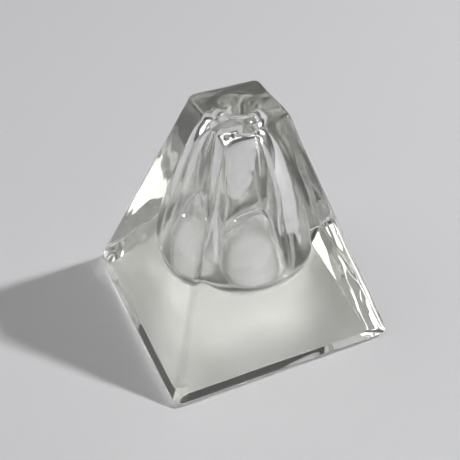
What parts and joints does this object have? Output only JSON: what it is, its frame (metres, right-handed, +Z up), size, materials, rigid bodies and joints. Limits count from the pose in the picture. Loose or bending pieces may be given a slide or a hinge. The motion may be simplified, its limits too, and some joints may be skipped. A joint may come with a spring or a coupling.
{
  "type": "bud vase",
  "caption": "Heavy clear glass bud vase: a flat-topped square pyramid with an egg-shaped hollow and a small flared mouth.",
  "frame": {"origin": "middle of the flat underside, on the surface that the vase stands on", "axes": "+Z up along the axis of the pyramid, the hollow and the mouth; +X and +Y square to the sides of the base"},
  "size_m": [0.084, 0.084, 0.086],
  "materials": {
    "clear_glass": "polished, slightly grey-green, softened edges; the flat of the underside is ground"
  },
  "bodies": {
    "root": {"glass_body": "clear_glass"}
  },
  "joints": []
}
